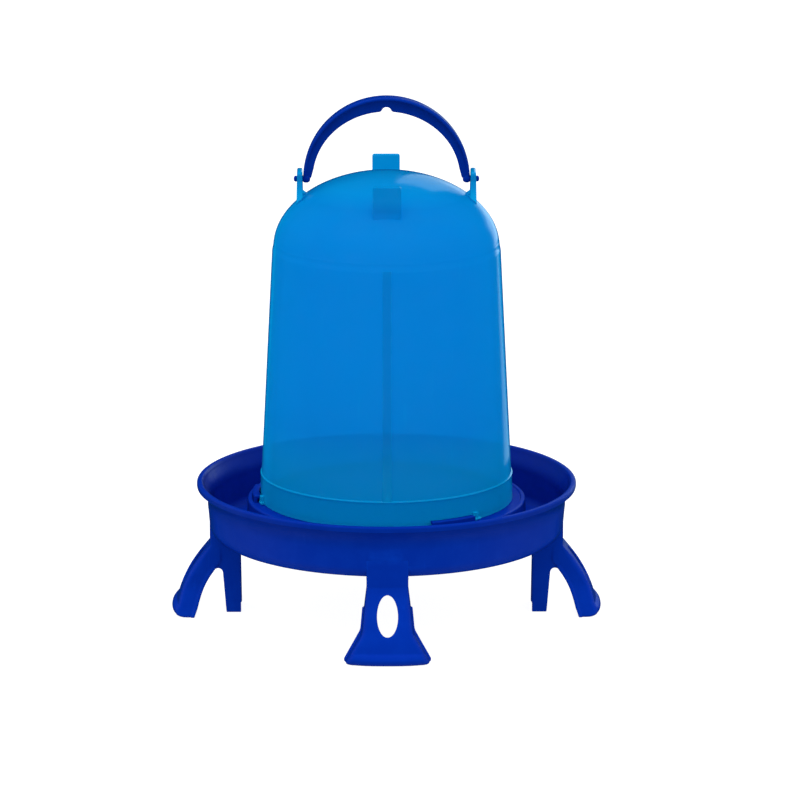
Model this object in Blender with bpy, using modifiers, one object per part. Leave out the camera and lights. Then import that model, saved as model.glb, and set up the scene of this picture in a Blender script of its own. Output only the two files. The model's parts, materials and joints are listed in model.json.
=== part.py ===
"""Poultry waterer fount: an inverted reservoir drum standing in a drinking tray on four clip-on
legs, with a swinging carrying handle.

Frame: metres, +Z up, origin on the ground at the centre. The front leg points along -Y, the
handle arch lies in the XZ plane and swings about the X direction, and the drum lifts off along
+Z. Names ending in _R are distances from the Z axis, and names ending in _Z are heights.
"""

import math

import bmesh
import bpy
from mathutils import Matrix, Vector

for old in list(bpy.data.objects):
    bpy.data.objects.remove(old, do_unlink=True)

# ---------------------------------------------------------------- shared dimensions
GAP = 0.0003  # running clearance between separate mouldings
SEGMENTS = 60  # facets around every turned shape
SHARP_ANGLE = math.radians(35)
SIDES = (("right", 1), ("left", -1))  # the +X and -X sides

# drinking tray
LIP_R = 0.1604  # outermost radius of the flared lip
LIP_Z = 0.1124  # top of the lip
LIP_INNER_R = 0.1556  # inner edge of the lip's flat top
LIP_ROUND = 0.0016
WALL_R_TOP = 0.1513  # outside of the upright wall under the flare
WALL_R_LOW = 0.1498  # outside of the wall above the rounded bottom corner
FLARE_Z = (0.0921, 0.1119)  # where the wall's flare starts and ends
TRAY_T = 0.0025  # wall thickness
CORNER = 0.0115  # outer radius of the bottom corner
TRAY_UNDER = 0.0653  # height of the tray's flat underside
FLOOR_Z = 0.0678  # bottom of the drinking trough
STEP_R = 0.1175  # edge of the raised centre platform
STEP_ROUND = 0.0015  # rounding of that edge
STEP_SPREAD = 0.0012  # offset of the step's foot from STEP_R, outward above and inward below
TROUGH_FILLET = 0.004
PLATFORM_Z = 0.0967  # platform the drum's rim stands on
LOCATING_R = (0.1006, 0.1030)
LOCATING_Z = 0.1007

# bayonet hooks on the tray, and the drum's tabs
HOOKS_AT = (30.0, 150.0, 270.0)  # degrees round from the front
HOOK_HALF = 10.5  # degrees
HOOK_R = (0.1106, 0.1134)
HOOK_BEVEL = 0.0012
HOOK_LIP_R = 0.1076
HOOK_LIP_Z = (0.1002, 0.1026)
STOP_FROM, STOP_TO = 0.15, 1.5  # the stop's two ends, degrees past a hook's first end
TAB_FROM, TAB_TO = 11.7, 15.7  # a tab's two ends, degrees past a hook's middle
TAB_R = 0.1099
TAB_Z = (0.0974, 0.0994)
TAB_BEVEL = 0.0006
RIB_FROM = TAB_FROM + 0.15  # a rib's two ends: the raised end of a tab that meets a hook
RIB_TO = TAB_FROM + 2.7
RIB_TOP = 0.1040

# reservoir drum
DRUM_Z0 = 0.0970  # open bottom rim
DRUM_R_RIM = 0.1067
DRUM_R_LOW = 0.1056  # cone wall just above the band
DRUM_R_TOP = 0.0956
DRUM_T = 0.0022
RIM_BEVEL = 0.0004
BAND_Z = 0.1191  # top of the wider bottom band
BAND_EDGE = [(0.0009, 0.0004), (0.0009, -0.0010), (0.0004, -0.0018)]  # beyond DRUM_R_LOW, BAND_Z
CONE_FOOT_Z = BAND_Z + 0.0012
SHOULDER_Z = 0.3138
DOME_R = 0.0947
DOME_H = 0.0627
DOME_POWER = 2.0 / 1.975  # just over 1, which flattens the dome slightly
OUTLET_HALF = 0.006
OUTLET_TOP = 0.1061
GAUGE_W = 0.0078  # raised strip down the front
GAUGE_PROUD = 0.0008
GAUGE_SUNK = 0.0012  # how far the strip reaches into the wall
GAUGE_Z = (BAND_Z, 0.3120)
LUG_R = (0.0702, 0.0746)
LUG_HALF = 0.0117
LUG_Z = (0.3435, 0.3782)
LUG_BEVEL = 0.0007
GUSSET_T = 0.0030
GUSSET_REACH = 0.0075  # how far a gusset runs in from its lug
GUSSET_Z = (0.3485, 0.3568)  # its inner edge

# handle
PIVOT_Z = 0.3709
ARCH_R = 0.0696
ARCH_IN = (0.0614, 0.0567)  # inner curve, half width and height
WEB_T = 0.0040
WEB_BEVEL = 0.0004
FLANGE_T = 0.0027
FLANGE_HALF = 0.0075
FLANGE_END_HALF = 0.0030
FLANGE_EASE = 48.0  # degrees over which the flange grows to full width
KNUCKLE_R = 0.0034
KNUCKLE_OVERLAP = 0.0002
PIN_R = 0.0022
PIN_TIP_R = 0.0012
PIN_ROOT = 0.004  # how far a pin starts inside the arch
PIN_END = 0.0774
BORE_R = 0.0026
NOTCH_HALF = 0.0056
NOTCH_LEAD = 0.0020  # width of the sloping run into the notch
NOTCH_STEP = 0.0012  # depth reached by that run
NOTCH_BOW = 0.0027  # further depth of the rounded middle

# legs
LEG_OUT_R = 0.1501  # outside of the collar
LEG_TOP = 0.0815
NECK_HALF = 0.0169
NECK_BACK_R = 0.1400
STEP_Z = 0.0411  # small step outward in the leg's edge
STEP_HALF = 0.0205
STEP_OUT = 0.0011
SPLAY_Z = 0.0248  # where the foot starts to splay
SPLAY_HALF = 0.0221
SPLAY = 0.600  # growth of the half width below that, for each metre down
FOOT_R = 0.1779  # front of the shin just above the toe
FOOT_Z = 0.0115
FRONT_HALF_MAX = 0.0308
EDGE_SETBACK = 0.0018  # fall of the rounded side edge behind the front face
TOE_R = 0.1823
TOE_SETBACK = 0.0024  # rounding of the toe's corners in plan
HEEL_R = 0.1612
LEG_WALL = 0.0026
LEG_PLATE = 0.0030
LEG_FLOOR_T = 0.0026
ROOM_DEPTH = 0.012  # how far the room behind the plate reaches back
ROOM_HALF_MAX = 0.0282
ROOM_BACK_HALF = 0.0305
SADDLE_T = 0.0030
STRUT_IN_R = 0.1233
POCKET_R = 0.1484
POCKET_CUT_R = 0.156  # the pocket's cutter reaches out past the wall
POCKET_CUT_Z = 0.055
OVAL_Z, OVAL_H, OVAL_HALF = 0.0381, 0.0165, 0.0087
TONGUE_R = (0.1300, 0.1330)
TONGUE_HALF = 0.0080
TONGUE_Z = 0.0565
TONGUE_TAPER = 0.0006
BARB = 0.0014

# Turns for flat outlines. SIDE_VIEW: local X to -Y, local Y to Z, thickness along X.
SIDE_VIEW = Matrix(((0, 0, 1, 0), (-1, 0, 0, 0), (0, 1, 0, 0), (0, 0, 0, 1)))
# FRONT_VIEW: local X to X, local Y to Z, thickness along Y.
FRONT_VIEW = Matrix(((1, 0, 0, 0), (0, 0, -1, 0), (0, 1, 0, 0), (0, 0, 0, 1)))

# ---------------------------------------------------------------- collections and helpers
scene = bpy.context.scene
parts = bpy.data.collections.new("poultry_waterer_fount")
cutters = bpy.data.collections.new("cutters")
scene.collection.children.link(parts)
scene.collection.children.link(cutters)


def plastic(name, colour, roughness, alpha=1.0):
    material = bpy.data.materials.new(name)
    material.use_nodes = True
    inputs = material.node_tree.nodes["Principled BSDF"].inputs
    inputs["Base Color"].default_value = (*colour, 1.0)
    inputs["Roughness"].default_value = roughness
    inputs["Metallic"].default_value = 0.0
    inputs["IOR"].default_value = 1.5
    inputs["Alpha"].default_value = alpha
    material.diffuse_color = (*colour, alpha)
    return material


def place(name, mesh, collection=cutters, material=None):
    """A new object for a mesh. Helpers in the cutters collection are kept out of renders."""
    obj = bpy.data.objects.new(name, mesh)
    collection.objects.link(obj)
    if collection is cutters:
        obj.hide_render = True
        obj.display_type = "WIRE"
    if material:
        mesh.materials.append(material)
    return obj


def place_solid(name, solid, collection=cutters, material=None):
    """An object from a bmesh, with its faces turned outward."""
    bmesh.ops.recalc_face_normals(solid, faces=solid.faces)
    mesh = bpy.data.meshes.new(name)
    solid.to_mesh(mesh)
    solid.free()
    return place(name, mesh, collection, material)


def turned(name, outline, collection=cutters, origin_z=0.0, material=None):
    """A solid of revolution. The (radius, height) outline runs down the outer side and back up
    the inner one. It either closes on itself or starts and ends on the axis."""
    mesh = bpy.data.meshes.new(name)
    edges = [(i, i + 1) for i in range(len(outline) - 1)]
    if outline[0][0] > 1e-9 or outline[-1][0] > 1e-9:
        edges.append((len(outline) - 1, 0))
    mesh.from_pydata([(radius, 0.0, z - origin_z) for radius, z in outline], edges, [])
    obj = place(name, mesh, collection, material)
    obj.location.z = origin_z
    turn = obj.modifiers.new("turn", "SCREW")
    turn.axis = "Z"
    turn.angle = math.tau
    turn.steps = SEGMENTS
    turn.render_steps = SEGMENTS
    turn.use_merge_vertices = True
    turn.merge_threshold = 0.00001
    return obj


def slab(name, outline, thickness, matrix):
    """A flat outline in the local XY plane, given thickness about that plane, as a mesh."""
    curve = bpy.data.curves.new(name + "_outline", "CURVE")
    curve.dimensions = "2D"
    curve.fill_mode = "BOTH"
    curve.extrude = thickness / 2
    spline = curve.splines.new("POLY")
    spline.points.add(len(outline) - 1)
    for point, (x, y) in zip(spline.points, outline):
        point.co = (x, y, 0.0, 1.0)
    spline.use_cyclic_u = True
    guide = bpy.data.objects.new(name + "_outline", curve)
    scene.collection.objects.link(guide)
    mesh = evaluated_mesh(guide)
    solid = bmesh.new()
    solid.from_mesh(mesh)
    bmesh.ops.remove_doubles(solid, verts=solid.verts, dist=1e-7)
    bmesh.ops.recalc_face_normals(solid, faces=solid.faces)
    solid.to_mesh(mesh)
    solid.free()
    mesh.transform(matrix)
    if matrix.determinant() < 0:
        mesh.flip_normals()
    bpy.data.objects.remove(guide)
    bpy.data.curves.remove(curve)
    return place(name, mesh)


def evaluated_mesh(obj):
    """A new mesh of an object with its modifiers applied and no materials."""
    bpy.context.view_layer.update()
    graph = bpy.context.evaluated_depsgraph_get()
    mesh = bpy.data.meshes.new_from_object(obj.evaluated_get(graph), depsgraph=graph)
    mesh.materials.clear()
    return mesh


def loft(name, sections, collection=cutters, material=None):
    """A closed skin over a run of like-numbered sections, capped at both ends."""
    solid = bmesh.new()
    rings = [[solid.verts.new(point) for point in section] for section in sections]
    for ring, after in zip(rings, rings[1:]):
        for i in range(len(ring)):
            j = (i + 1) % len(ring)
            solid.faces.new((ring[i], ring[j], after[j], after[i]))
    solid.faces.new(rings[0][::-1])
    solid.faces.new(rings[-1])
    return place_solid(name, solid, collection, material)


def box(name, low, high):
    solid = bmesh.new()
    bmesh.ops.create_cube(solid, size=1.0)
    size = Vector(high) - Vector(low)
    middle = (Vector(high) + Vector(low)) / 2
    matrix = Matrix.Translation(middle) @ Matrix.Diagonal((*size, 1.0))
    bmesh.ops.transform(solid, matrix=matrix, verts=solid.verts)
    return place_solid(name, solid)


def rod(name, radius, start, end, z, sides=16, tip=None):
    """A round bar along X. tip is the radius of its end, which is then a dome of two cones."""
    stops = [(start, radius), (end, radius)]
    if tip is not None:
        drop = math.copysign(radius - tip, end - start)
        stops = [(start, radius), (end - 1.2 * drop, radius),
                 (end - 0.35 * drop, (radius + tip) / 2 + 0.0003), (end, tip)]
    turns = [math.tau * k / sides for k in range(sides)]
    return loft(name, [[(x, ring * math.cos(turn), z + ring * math.sin(turn)) for turn in turns]
                       for x, ring in stops])


def ring_blocks(label, outline, start, end, bottom, top):
    """A turned ring kept only at the three hook places, from start to end in degrees past each
    hook's middle. Bottom and top are the heights of the blocks that trim it."""
    solid = bmesh.new()
    for hook in HOOKS_AT:
        plan = []
        for radius, order in ((0.095, 1), (0.125, -1)):
            for k in (0, 1, 2)[::order]:
                turn = math.radians(hook + start + (end - start) * k / 2 - 90.0)
                plan.append((radius * math.cos(turn), radius * math.sin(turn)))
        low = [solid.verts.new((x, y, bottom)) for x, y in plan]
        high = [solid.verts.new((x, y, top)) for x, y in plan]
        for i in range(6):
            j = (i + 1) % 6
            solid.faces.new((low[i], low[j], high[j], high[i]))
        for k in range(2):  # caps as quads, because the outline is not convex
            for ring, order in ((low, 1), (high, -1)):
                face = [ring[k], ring[k + 1], ring[4 - k], ring[5 - k]]
                solid.faces.new(face[::order])
    blocks = place_solid(f"{label}_spans", solid)
    ring = turned(f"{label}_ring", outline)
    boolean(ring, blocks, "INTERSECT")
    return ring


def boolean(obj, other, operation):
    modifier = obj.modifiers.new(other.name, "BOOLEAN")
    modifier.operation = operation
    modifier.solver = "EXACT"
    modifier.object = other


def join(obj, *others):
    for other in others:
        boolean(obj, other, "UNION")


def cut(obj, *others):
    for other in others:
        boolean(obj, other, "DIFFERENCE")


def smooth(mesh):
    mesh.shade_smooth()
    mesh.set_sharp_from_angle(angle=SHARP_ANGLE)


def quarter_turn(quarter):
    """Turn from the front: 1 is right (+X), 2 is back, 3 or -1 is left."""
    return Matrix.Rotation(quarter * math.pi / 2, 4, "Z")


def clamp(value):
    return min(max(value, 0.0), 1.0)


def ease(share):
    return share * share * (3.0 - 2.0 * share)


def bezier(start, control, end, steps):
    """steps + 1 points along a quadratic curve."""
    points = []
    for k in range(steps + 1):
        u = k / steps
        weights = ((1 - u) ** 2, 2 * u * (1 - u), u * u)
        points.append(tuple(sum(weight * value for weight, value in zip(weights, values))
                            for values in zip(start, control, end)))
    return points


def arc(x, y, radius, start, end, steps, radius_y=None):
    """steps + 1 points along a circular or elliptical arc, degrees."""
    if radius_y is None:
        radius_y = radius
    turns = [math.radians(start + (end - start) * k / steps) for k in range(steps + 1)]
    return [(x + radius * math.cos(turn), y + radius_y * math.sin(turn)) for turn in turns]


# ---------------------------------------------------------------- tray
def flare_line(start, end, steps, radii, heights):
    """Wall points from height start to end, on a flare between two radii and two heights."""
    points = []
    for k in range(steps + 1):
        z = start + (end - start) * k / steps
        share = clamp((z - heights[0]) / (heights[1] - heights[0])) ** 1.5
        points.append((radii[0] + (radii[1] - radii[0]) * ease(share), z))
    return points


def tray_corner(radius, start, end, steps):
    """The rounded bottom corner, at a given radius about its centre."""
    return arc(WALL_R_LOW - CORNER, TRAY_UNDER + CORNER, radius, start, end, steps)


def tray_outline():
    foot = STEP_R + STEP_SPREAD
    fillet_z = FLOOR_Z + TROUGH_FILLET
    return [
        (0.0, PLATFORM_Z),
        (LOCATING_R[0], PLATFORM_Z), (LOCATING_R[0], LOCATING_Z),
        (LOCATING_R[1], LOCATING_Z), (LOCATING_R[1], PLATFORM_Z),
        *arc(STEP_R - STEP_ROUND, PLATFORM_Z - STEP_ROUND, STEP_ROUND, 90.0, 0.0, 2),
        (foot, fillet_z),
        *arc(foot + TROUGH_FILLET, fillet_z, TROUGH_FILLET, 180.0, 270.0, 2)[1:],
        *tray_corner(CORNER - TRAY_T, -90.0, 0.0, 4),
        *flare_line(FLARE_Z[0] + 0.001, LIP_Z - LIP_ROUND, 5,
                    (WALL_R_TOP - TRAY_T, LIP_INNER_R - 0.0003), (FLARE_Z[0] + 0.0012, LIP_Z)),
        (LIP_INNER_R, LIP_Z), (LIP_R - LIP_ROUND, LIP_Z),
        *arc(LIP_R - LIP_ROUND, LIP_Z - LIP_ROUND, LIP_ROUND, 60.0, 0.0, 2),
        *flare_line(LIP_Z - 0.0024, FLARE_Z[0], 8, (WALL_R_TOP, LIP_R), FLARE_Z),
        *tray_corner(CORNER, 0.0, -90.0, 5),
        (STEP_R - STEP_SPREAD, TRAY_UNDER),
        (STEP_R - TRAY_T, PLATFORM_Z - TRAY_T), (0.0, PLATFORM_Z - TRAY_T)]


def tray_hooks():
    """The three hooks, and a block closing one end of each."""
    inner, outer = HOOK_R
    lip_under, top = HOOK_LIP_Z
    root = PLATFORM_Z - 0.001
    hooks = ring_blocks("hook", [
        (HOOK_LIP_R, top), (outer - HOOK_BEVEL, top), (outer, top - HOOK_BEVEL), (outer, root),
        (inner, root), (inner, lip_under), (HOOK_LIP_R, lip_under)],
        -HOOK_HALF, HOOK_HALF, PLATFORM_Z - 0.003, 0.112)
    # the stops sit just inside the hooks' faces
    inner, outer = HOOK_LIP_R + 0.0002, HOOK_R[1] - 0.0009
    top, root = HOOK_LIP_Z[1] - 0.0004, PLATFORM_Z - 0.0008
    stops = ring_blocks("stop", [(inner, top), (outer, top), (outer, root), (inner, root)],
                        -HOOK_HALF + STOP_FROM, -HOOK_HALF + STOP_TO, PLATFORM_Z - 0.004, 0.112)
    return hooks, stops


def tray_tongues():
    """Each leg plugs on to a tongue under the trough and is held by the tongue's barb."""
    inner, outer = TONGUE_R
    outline = [
        (inner, FLOOR_Z - 0.001), (outer, FLOOR_Z - 0.001), (outer, TRAY_UNDER - 0.0038),
        (outer + BARB, TRAY_UNDER - 0.0042), (outer + BARB, TRAY_UNDER - 0.0052),
        (outer - TONGUE_TAPER, TONGUE_Z), (inner + TONGUE_TAPER, TONGUE_Z)]
    return [slab(f"tongue_{k}", outline, 2 * TONGUE_HALF, quarter_turn(k) @ SIDE_VIEW)
            for k in range(4)]


def collar_pockets():
    """Shallow pockets in the outside of the wall, one for each leg's collar."""
    top = LEG_TOP + GAP
    ring = turned("pocket_ring", [(POCKET_CUT_R, top), (POCKET_CUT_R, POCKET_CUT_Z),
                                  (POCKET_R, POCKET_CUT_Z), (POCKET_R, top)])
    half = NECK_HALF + GAP
    reach = 0.17
    cross = [(half, half), (reach, half), (reach, -half), (half, -half),
             (half, -reach), (-half, -reach), (-half, -half), (-reach, -half),
             (-reach, half), (-half, half), (-half, reach), (half, reach)]
    spans = slab("pocket_spans", cross, 0.060, Matrix.Translation((0, 0, 0.070)))
    boolean(ring, spans, "INTERSECT")
    return ring


def build_tray(material):
    tray = turned("tray", tray_outline(), parts, material=material)
    join(tray, *tray_hooks(), *tray_tongues())
    cut(tray, collar_pockets())
    tray.modifiers["turn"].use_smooth_shade = True


# ---------------------------------------------------------------- drum
def cone_r(z):
    share = (z - BAND_Z) / (SHOULDER_Z - BAND_Z)
    return DRUM_R_LOW + (DRUM_R_TOP - DRUM_R_LOW) * share


def dome(inset, steps):
    """Points up the dome from the shoulder to its crown, at a depth inside its surface."""
    radius, height = DOME_R - inset, DOME_H - inset
    points = []
    for k in range(steps):
        turn = math.radians(90.0 * k / steps)
        points.append((radius * math.cos(turn) ** DOME_POWER,
                       SHOULDER_Z + height * math.sin(turn) ** DOME_POWER))
    return points + [(0.0, SHOULDER_Z + height)]


def drum_outline():
    rim_in = DRUM_R_RIM - DRUM_T
    rim_z = DRUM_Z0 + RIM_BEVEL
    return [
        *dome(0.0, 11)[::-1],
        (DRUM_R_TOP, SHOULDER_Z - 0.0006), (cone_r(CONE_FOOT_Z), CONE_FOOT_Z),
        *[(DRUM_R_LOW + out, BAND_Z + rise) for out, rise in BAND_EDGE],
        (DRUM_R_RIM, rim_z), (DRUM_R_RIM - RIM_BEVEL, DRUM_Z0),
        (rim_in + RIM_BEVEL, DRUM_Z0), (rim_in, rim_z),
        *dome(DRUM_T, 9)]


def dome_bosses():
    """Four upright lugs on the dome, with a gusset behind each of the two pivot lugs. All are
    trimmed at the middle of the dome's wall, so that none shows inside."""
    mid_wall = turned("mid_wall", dome(DRUM_T / 2, 9)[::-1] + [(0.0, SHOULDER_Z)])
    inner, outer = LUG_R
    bottom, top = LUG_Z
    lug = [(inner, bottom), (outer, bottom), (outer, top - LUG_BEVEL), (outer - LUG_BEVEL, top),
           (inner + LUG_BEVEL, top), (inner, top - LUG_BEVEL)]
    gusset_top = PIVOT_Z - 0.0095
    gusset = [(inner + 0.001, gusset_top), (inner - 0.0004, gusset_top),
              (inner - GUSSET_REACH, GUSSET_Z[1]), (inner - GUSSET_REACH, GUSSET_Z[0]),
              (inner + 0.001, GUSSET_Z[0])]
    bosses = [slab(f"lug_{place_name}", lug, 2 * LUG_HALF, quarter_turn(quarter) @ SIDE_VIEW)
              for place_name, quarter in (("front", 0), ("back", 2), *SIDES)]
    bosses += [slab(f"gusset_{side}", gusset, GUSSET_T, quarter_turn(sign) @ SIDE_VIEW)
               for side, sign in SIDES]
    for boss in bosses:
        cut(boss, mid_wall)
    return bosses


def gauge_strip():
    bottom, top = GAUGE_Z
    ring = turned("gauge_ring", [
        (cone_r(top) + GAUGE_PROUD, top), (cone_r(bottom) + GAUGE_PROUD, bottom),
        (cone_r(bottom) - GAUGE_SUNK, bottom), (cone_r(top) - GAUGE_SUNK, top)])
    width = box("gauge_width", (-GAUGE_W / 2, -0.120, 0.100), (GAUGE_W / 2, -0.080, 0.330))
    boolean(ring, width, "INTERSECT")
    return ring


def drum_tabs():
    """The bayonet tabs, and the raised rib on one end of each."""
    bottom, top = TAB_Z
    inner = DRUM_R_RIM - 0.0015
    tabs = ring_blocks("tab", [
        (TAB_R, top - TAB_BEVEL), (TAB_R, bottom), (inner, bottom), (inner, top),
        (TAB_R - TAB_BEVEL, top)], TAB_FROM, TAB_TO, 0.090, 0.110)
    inner, outer = DRUM_R_RIM - 0.0017, TAB_R - TAB_BEVEL
    bottom += 0.0004
    ribs = ring_blocks("rib", [
        (outer, RIB_TOP), (outer, bottom), (inner, bottom), (inner, RIB_TOP)],
        RIB_FROM, RIB_TO, 0.090, 0.110)
    return tabs, ribs


def build_drum(material):
    drum = turned("drum", drum_outline(), parts, origin_z=DRUM_Z0, material=material)
    join(drum, *dome_bosses(), gauge_strip(), *drum_tabs())
    # the outlet notches the rim at the back
    cut(drum, box("outlet", (-OUTLET_HALF, 0.090, 0.085), (OUTLET_HALF, 0.120, OUTLET_TOP)),
        *[rod(f"bore_{side}", BORE_R, sign * 0.066, sign * 0.082, PIVOT_Z)
          for side, sign in SIDES])
    drum.modifiers["turn"].use_smooth_shade = True


# ---------------------------------------------------------------- handle, about its pivot
# Degrees up from the right-hand end to just short of the crown, closer together at the notch.
HANDLE_RISE = [1.0] + [5.0 + 6.5 * k for k in range(12)]
HANDLE_RISE += [90.0 - before for before in (5.5, 4.5, 3.5, 3.2, 2.7, 1.9, 1.0)]


def inner_edge(turn):
    """Distance from the pivot axis to the web's inner edge, with the notch at the crown."""
    plain = 1.0 / math.hypot(math.cos(turn) / ARCH_IN[0], math.sin(turn) / ARCH_IN[1])
    x = abs(plain * math.cos(turn))
    if x >= NOTCH_HALF or math.sin(turn) < 0.5:
        return plain
    lead = NOTCH_HALF - NOTCH_LEAD
    if x >= lead:
        return plain + NOTCH_STEP * (NOTCH_HALF - x) / NOTCH_LEAD
    return plain + NOTCH_STEP + NOTCH_BOW * math.sqrt(max(1.0 - (x / lead) ** 2, 0.0))


def handle_section(angle):
    """The T-shaped section of web and flange at an angle round the arch."""
    turn = math.radians(angle)
    growth = ease(min(min(angle, 180.0 - angle) / FLANGE_EASE, 1.0))
    flange = FLANGE_END_HALF + (FLANGE_HALF - FLANGE_END_HALF) * growth
    web_in, web_out, web = inner_edge(turn), ARCH_R - FLANGE_T, WEB_T / 2
    # (distance from the pivot axis, y) along the -Y side, from the web's inner edge outward
    front = [(web_in, WEB_BEVEL - web), (web_in + WEB_BEVEL, -web), (web_out, -web),
             (web_out, 0.0003 - flange), (web_out + 0.0005, -flange),
             (ARCH_R - 0.0007, -flange), (ARCH_R, 0.0010 - flange)]
    back = [(radius, -y) for radius, y in front[::-1]]
    return [(radius * math.cos(turn), y, radius * math.sin(turn))
            for radius, y in back[-1:] + front + back[:-1]]


def build_handle(material):
    angles = HANDLE_RISE + [90.0] + [180.0 - angle for angle in HANDLE_RISE[::-1]]
    handle = loft("handle", [handle_section(angle) for angle in angles], parts, material)
    knuckles = [rod(f"knuckle_{side}", KNUCKLE_R, sign * (ARCH_IN[0] - KNUCKLE_OVERLAP),
                    sign * (ARCH_R + KNUCKLE_OVERLAP), 0.0, sides=20)
                for side, sign in SIDES]
    pins = [rod(f"pin_{side}", PIN_R, sign * (ARCH_R - PIN_ROOT), sign * PIN_END, 0.0,
                tip=PIN_TIP_R)
            for side, sign in SIDES]
    join(handle, *knuckles, *pins)
    for piece in (handle, *knuckles, *pins):
        piece.location.z = PIVOT_Z
    smooth(handle.data)


# ---------------------------------------------------------------- leg, modelled at the front
# Lines down the leg as (radius, height). Each front point has a partner on the rear edge.
FRONT_LINE = [(LEG_OUT_R, LEG_TOP), (LEG_OUT_R, TRAY_UNDER - 0.0005)]
FRONT_LINE += bezier((LEG_OUT_R, 0.0576), (0.1700, 0.0367), (FOOT_R, FOOT_Z), 7)
TOE_LINE = [(0.1791, 0.0098), (0.1812, 0.0078), (TOE_R, 0.0048), (TOE_R - 0.0009, 0.0015),
            (0.1787, 0.0)]
REAR_LINE = [(NECK_BACK_R, LEG_TOP), (NECK_BACK_R, TRAY_UNDER - 0.0005),
             (NECK_BACK_R, 0.0525), (0.1405, 0.0450)]
REAR_LINE += bezier((0.1450, 0.0385), (0.1577, 0.0222), (HEEL_R, 0.0), 6)[:6]
REAR_LINE += [(0.1602, 0.0057), (0.1605, 0.0042), (0.1608, 0.0026), (0.1611, 0.0010),
              (HEEL_R, 0.0)]


def leg_half(z):
    """Half width at a height: a neck that widens slowly, a small step, then the splayed foot."""
    if z >= TRAY_UNDER:
        return NECK_HALF
    if z >= STEP_Z:
        share = (TRAY_UNDER - z) / (TRAY_UNDER - STEP_Z)
        return NECK_HALF + (STEP_HALF - STEP_OUT - NECK_HALF) * share
    if z >= SPLAY_Z:
        return STEP_HALF + (SPLAY_HALF - STEP_HALF) * (STEP_Z - z) / (STEP_Z - SPLAY_Z)
    low = max(1.0 - z / 0.003, 0.0)  # the sole's edge is rounded over its last 3 mm
    return SPLAY_HALF + SPLAY * (SPLAY_Z - z) - 0.0022 * low * low


def room_half(z):
    """Half width of the room behind the plate."""
    share = clamp((0.040 - z) / 0.012)
    return (NECK_HALF - LEG_WALL) * (1 - share) + (leg_half(z) - LEG_WALL) * share


def front_points(radius, half_span, z, setback=0.0):
    """Five points across a face curved about the Z axis, its two ends set back."""
    points = []
    for k in range(5):
        x = -half_span + 2 * half_span * k / 4
        y = -math.sqrt(radius * radius - x * x) + setback * (x / half_span) ** 4
        points.append((x, y, z))
    return points


def body_section(front, rear):
    radius, z = front
    rear_radius, rear_z = rear
    width, rear_width = leg_half(z), leg_half(rear_z)
    rounding = 0.0004 + 0.0018 * clamp((TRAY_UNDER - z) / 0.012)
    face = min(width - rounding, FRONT_HALF_MAX)
    setback = TOE_SETBACK if z < FOOT_Z else 0.0
    edge_x = max(min(width, rear_width) - 0.0002, face + 0.0002)
    edge_y = -math.sqrt(radius * radius - face * face) + EDGE_SETBACK + setback
    edge_z = z + (rear_z - z) * 0.10
    return front_points(radius, face, z, setback) + [
        (edge_x, edge_y, edge_z), (rear_width, -rear_radius, rear_z),
        (-rear_width, -rear_radius, rear_z), (-edge_x, edge_y, edge_z)]


def room_section(front, rear):
    """The room's section, set in from the plate's face along the line to the rear point."""
    inward = Vector(rear) - Vector(front)
    inward.normalize()
    radius, z = Vector(front) + inward * LEG_PLATE
    rear_radius, rear_z = Vector(rear) + inward * ROOM_DEPTH
    rear_z = max(rear_z, 0.0040)
    rear_width = min(room_half(rear[1]), ROOM_BACK_HALF)
    return front_points(radius, min(room_half(front[1]), ROOM_HALF_MAX), z) + [
        (rear_width, -rear_radius, rear_z), (-rear_width, -rear_radius, rear_z)]


def leg_room():
    """The hollow behind the plate, down to the top of the foot's floor."""
    sections = [room_section(front, rear) for front, rear in zip(FRONT_LINE, REAR_LINE)]
    sections.append(front_points(0.1770, ROOM_HALF_MAX, LEG_FLOOR_T) + [
        (ROOM_BACK_HALF, -0.1475, LEG_FLOOR_T), (-ROOM_BACK_HALF, -0.1475, LEG_FLOOR_T)])
    return loft("leg_hollow", sections)


def leg_strut():
    """Two side walls running in under the tray, a return on the inner edge of each, and the
    saddle across their top."""
    wall_top = TRAY_UNDER + 0.002
    wall_line = [
        (STRUT_IN_R + 0.0008, wall_top), (0.1473, wall_top), (0.1475, 0.0600),
        (0.1490, 0.0500), (0.1480, 0.0410),
        *arc(0.1425, 0.0346, 0.0039, 60.0, 180.0, 4),
        (0.1358, 0.0), (STRUT_IN_R, 0.0)]
    walls, returns = [], []
    for side, sign in SIDES:
        shift = Matrix.Translation((sign * (NECK_HALF - LEG_WALL / 2), 0, 0))
        walls.append(slab(f"side_wall_{side}", wall_line, LEG_WALL, shift @ SIDE_VIEW))
        x_low, x_high = sorted((sign * 0.0090, sign * (NECK_HALF - 0.0006)))
        returns.append(box(f"return_{side}", (x_low, -STRUT_IN_R - 0.0028, 0.0),
                           (x_high, -STRUT_IN_R - 0.0006, TRAY_UNDER - 0.0005)))
    saddle_half = NECK_HALF - 0.0010
    saddle = box("saddle", (-saddle_half, -0.1500, TRAY_UNDER - GAP - SADDLE_T),
                 (saddle_half, -STRUT_IN_R - 0.0009, TRAY_UNDER + 0.0015))
    return walls + returns + [saddle]


def tray_room():
    """The tray's space with its clearance: the pocket's face, then the bottom corner."""
    limit = POCKET_R + GAP
    top = LEG_TOP + 0.012
    outline = [(0.0, top), (limit, top)]
    corner = tray_corner(CORNER + GAP, 0.0, -90.0, 5)
    for (radius, z), (next_radius, next_z) in zip(corner, corner[1:]):
        if radius > limit >= next_radius:
            share = (radius - limit) / (radius - next_radius)
            outline.append((limit, z + (next_z - z) * share))
        if next_radius <= limit:
            outline.append((next_radius, next_z))
    return turned("tray_room", outline + [(0.0, TRAY_UNDER - GAP)])


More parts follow.
